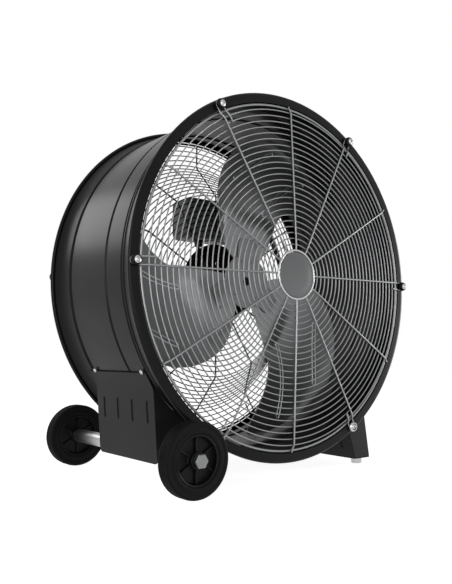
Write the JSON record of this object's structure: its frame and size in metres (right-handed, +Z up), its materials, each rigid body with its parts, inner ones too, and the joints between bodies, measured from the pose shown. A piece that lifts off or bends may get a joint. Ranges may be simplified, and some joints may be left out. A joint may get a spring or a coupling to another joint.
{
  "type": "drum fan",
  "caption": "Large drum fan: belled steel drum with wire guards front and rear, swept sheet blades on a rear-mounted motor, a wheel axle on one side and a footed leg on the other",
  "frame": {"origin": "on the floor, under the middle of the overall box", "axes": "+Y is the way the air comes in (rear); the air leaves at -Y; +Z is up; the wheels are at -X"},
  "size_m": [0.6604, 0.4436, 0.6893],
  "materials": {
    "satin_black_steel": "satin powder coat",
    "silver_wire": "satin plated wire",
    "black_wire": "satin powder coat",
    "badge_grey": "satin",
    "cast_aluminium": "satin",
    "blade_sheet": "satin sheet",
    "zinc": "bright zinc",
    "motor_black": "satin",
    "box_grey": "fine grain",
    "moulded_black": "satin",
    "tyre_rubber": "matt rubber",
    "bracket_grey": "satin powder coat"
  },
  "bodies": {
    "body": {"drum_shell": "satin_black_steel", "front_guard": "silver_wire", "rear_guard": "black_wire", "guard_badge": "badge_grey", "badge_ring": "zinc", "motor_housing": "motor_black", "motor_rear_cover": "motor_black", "motor_mount_plate": "motor_black", "motor_lead": "moulded_black", "control_box": "box_grey", "control_box_lid": "box_grey", "speed_switch": "moulded_black", "motor_lead_gland": "moulded_black", "axle_tube": "zinc", "axle_rod": "zinc", "front_axle_nut": "zinc", "rear_axle_nut": "zinc", "wheel_bracket": "bracket_grey", "leg_bracket": "bracket_grey", "front_foot": "zinc", "rear_foot": "zinc", "front_foot_nut": "zinc", "rear_foot_nut": "zinc", "front_clip_washer_1": "moulded_black", "front_clip_washer_2": "moulded_black", "front_clip_washer_3": "moulded_black", "front_clip_washer_4": "moulded_black", "front_clip_washer_5": "zinc", "front_clip_washer_6": "zinc", "front_clip_screw_1": "zinc", "front_clip_screw_2": "zinc", "front_clip_screw_3": "zinc", "front_clip_screw_4": "zinc", "front_clip_screw_5": "zinc", "front_clip_screw_6": "zinc", "rear_clip_screw_1": "zinc", "rear_clip_screw_2": "zinc", "rear_clip_screw_3": "zinc", "rear_clip_screw_4": "zinc", "rear_clip_screw_5": "zinc", "rear_clip_screw_6": "zinc"},
    "rotor": {"hub_plate": "cast_aluminium", "blade_1": "blade_sheet", "blade_2": "blade_sheet", "blade_3": "blade_sheet", "motor_shaft": "zinc", "hub_set_screw": "zinc"},
    "front_wheel": {"front_tyre": "tyre_rubber", "front_wheel_hub": "moulded_black"},
    "rear_wheel": {"rear_tyre": "tyre_rubber", "rear_wheel_hub": "moulded_black"},
    "knob": {"speed_knob": "moulded_black", "knob_spindle": "zinc"}
  },
  "joints": [
    {"name": "fan_spin", "type": "hinge", "parent": "body", "child": "rotor", "pos_m": [0, -0.0268, 0.3593], "axis": [0, -1, 0], "continuous": true},
    {"name": "front_wheel_spin", "type": "hinge", "parent": "body", "child": "front_wheel", "pos_m": [-0.22405, -0.20023, 0.059], "axis": [0, 1, 0], "continuous": true},
    {"name": "rear_wheel_spin", "type": "hinge", "parent": "body", "child": "rear_wheel", "pos_m": [-0.22405, 0.20023, 0.059], "axis": [0, 1, 0], "continuous": true},
    {"name": "knob_turn", "type": "hinge", "parent": "body", "child": "knob", "pos_m": [0, 0.1032, 0.49557], "axis": [0, -1, 0], "range_deg": [0, 135]}
  ]
}
